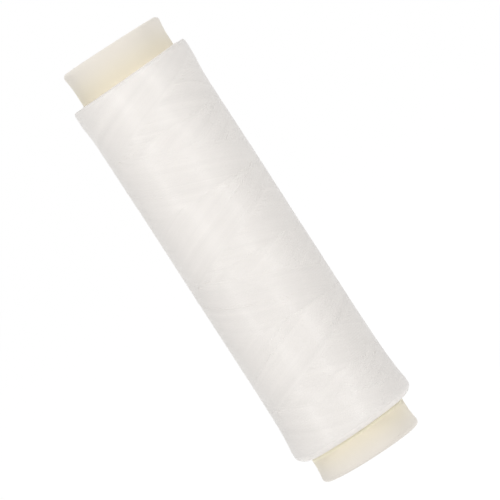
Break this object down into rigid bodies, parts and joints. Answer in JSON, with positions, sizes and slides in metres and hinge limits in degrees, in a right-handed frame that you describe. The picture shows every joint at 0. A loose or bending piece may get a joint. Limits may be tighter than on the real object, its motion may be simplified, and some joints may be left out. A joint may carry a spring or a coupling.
{
  "type": "spool of thread",
  "caption": "Straight plastic tube with a bore right through and a flared lip at each rim, cross-wound with white sewing thread in one long pack that leaves both rims bare.",
  "frame": {"origin": "centre of the base rim, on the tube's axis, in the plane that the spool stands on", "axes": "+Z along the tube from the base rim to the top rim; the base is the end with the larger thread shoulder; X and Y are interchangeable"},
  "size_m": [0.0358, 0.0358, 0.127],
  "materials": {
    "tube_plastic": "satin",
    "thread": "satin"
  },
  "bodies": {
    "root": {"core_tube": "tube_plastic", "thread_core": "thread", "thread_outer_turns": "thread"}
  },
  "joints": []
}
